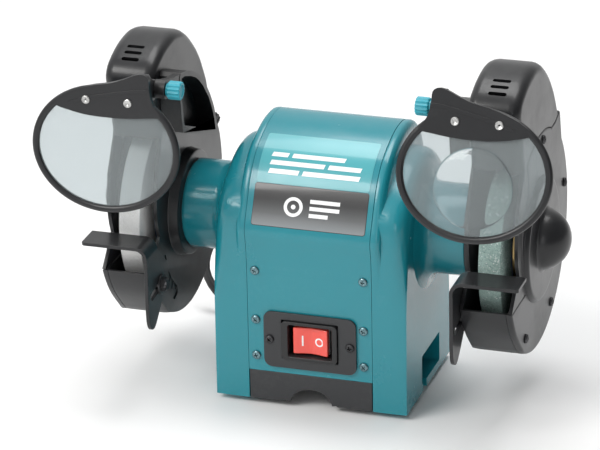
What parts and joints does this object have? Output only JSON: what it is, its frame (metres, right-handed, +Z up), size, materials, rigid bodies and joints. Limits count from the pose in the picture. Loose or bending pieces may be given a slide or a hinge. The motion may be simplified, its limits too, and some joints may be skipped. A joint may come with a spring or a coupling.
{
  "type": "bench grinder",
  "caption": "Bench grinder: a teal motor body with an abrasive wheel at each end in a dark guard, tool rests, tilting eye shields and a red rocker switch.",
  "frame": {"origin": "on the bench, under the middle of the machine without its cord", "axes": "+X along the shaft to the right-hand wheel, -Y to the user, +Z up"},
  "size_m": [0.3782, 0.3655, 0.2683],
  "materials": {
    "teal_paint": "gloss",
    "charcoal_paint": "satin",
    "black_plastic": "satin",
    "steel": "machined",
    "copper_wire": "enamelled wire",
    "yellow_zinc": "yellow zinc plate",
    "white_abrasive": "fine grit",
    "green_abrasive": "coarse grit",
    "clear_plastic": "clear",
    "red_plastic": "gloss",
    "knob_plastic": "satin",
    "rubber": "matte"
  },
  "bodies": {
    "machine": {"base_pan": "charcoal_paint", "capacitor": "black_plastic", "cord_coil": "rubber", "cover_screw_1": "teal_paint", "cover_screw_2": "teal_paint", "cover_screw_3": "teal_paint", "cover_screw_4": "teal_paint", "cover_screw_5": "teal_paint", "cover_screw_6": "teal_paint", "end_housing_left": "teal_paint", "end_housing_right": "teal_paint", "foot_front_left": "rubber", "foot_front_right": "rubber", "foot_rear_left": "rubber", "foot_rear_right": "rubber", "guard_cover_left": "charcoal_paint", "guard_cover_right": "charcoal_paint", "guard_left": "charcoal_paint", "guard_right": "charcoal_paint", "motor_cover": "teal_paint", "plug": "rubber", "power_cord": "rubber", "rest_bolt_left": "black_plastic", "rest_bolt_right": "black_plastic", "shield_bracket_left": "black_plastic", "shield_bracket_right": "black_plastic", "stator_core": "steel", "strain_relief": "rubber", "switch_housing": "black_plastic", "switch_plate": "charcoal_paint", "switch_screw_1": "black_plastic", "switch_screw_2": "black_plastic", "winding_left": "copper_wire", "winding_right": "copper_wire"},
    "rotor": {"bearing_inner_left": "steel", "bearing_inner_right": "steel", "bearing_outer_left": "steel", "bearing_outer_right": "steel", "grinding_wheel_left": "white_abrasive", "grinding_wheel_right": "green_abrasive", "inner_flange_left": "steel", "inner_flange_right": "steel", "outer_flange_left": "steel", "outer_flange_right": "yellow_zinc", "rotor_core": "steel", "shaft": "steel", "wheel_nut_left": "steel", "wheel_nut_right": "steel"},
    "rocker": {"rocker": "red_plastic"},
    "shield_left": {"shield_frame_left": "charcoal_paint", "shield_lens_left": "clear_plastic"},
    "knob_left": {"shield_knob_left": "knob_plastic"},
    "thumbscrew_left": {"thumbscrew_left": "black_plastic"},
    "rest_left": {"tool_rest_left": "charcoal_paint"},
    "shield_right": {"shield_frame_right": "charcoal_paint", "shield_lens_right": "clear_plastic"},
    "knob_right": {"shield_knob_right": "knob_plastic"},
    "thumbscrew_right": {"thumbscrew_right": "black_plastic"},
    "rest_right": {"tool_rest_right": "charcoal_paint"}
  },
  "joints": [
    {"name": "rotor_spin", "type": "hinge", "parent": "machine", "child": "rotor", "pos_m": [0, 0.021, 0.125], "axis": [1, 0, 0], "continuous": true},
    {"name": "rocker_tip", "type": "hinge", "parent": "machine", "child": "rocker", "pos_m": [0.001, -0.038, 0.0545], "axis": [0, 0, 1], "range_deg": [-9, 9]},
    {"name": "shield_tilt_right", "type": "hinge", "parent": "machine", "child": "shield_right", "pos_m": [0.1073, -0.059, 0.2485], "axis": [-1, 0, 0], "range_deg": [-20, 58]},
    {"name": "knob_turn_right", "type": "hinge", "parent": "machine", "child": "knob_right", "pos_m": [0.1073, -0.059, 0.2485], "axis": [1, 0, 0], "range_deg": [-180, 180]},
    {"name": "thumbscrew_turn_right", "type": "hinge", "parent": "machine", "child": "thumbscrew_right", "pos_m": [0.106, 0.053, 0.172], "axis": [0, 0.9703, 0.2419], "range_deg": [-180, 180]},
    {"name": "rest_slide_right", "type": "slide", "parent": "machine", "child": "rest_right", "axis": [0, 0.9903, 0.1392], "range_m": [-0.002, 0.0018]},
    {"name": "shield_tilt_left", "type": "hinge", "parent": "machine", "child": "shield_left", "pos_m": [-0.1073, -0.059, 0.2425], "axis": [-1, 0, 0], "range_deg": [-8, 71]},
    {"name": "knob_turn_left", "type": "hinge", "parent": "machine", "child": "knob_left", "pos_m": [-0.1073, -0.059, 0.2425], "axis": [1, 0, 0], "range_deg": [-180, 180]},
    {"name": "thumbscrew_turn_left", "type": "hinge", "parent": "machine", "child": "thumbscrew_left", "pos_m": [-0.106, 0.053, 0.172], "axis": [0, 0.9703, 0.2419], "range_deg": [-180, 180]},
    {"name": "rest_slide_left", "type": "slide", "parent": "machine", "child": "rest_left", "axis": [0, 0.9903, 0.1392], "range_m": [-0.002, 0.0018]}
  ]
}
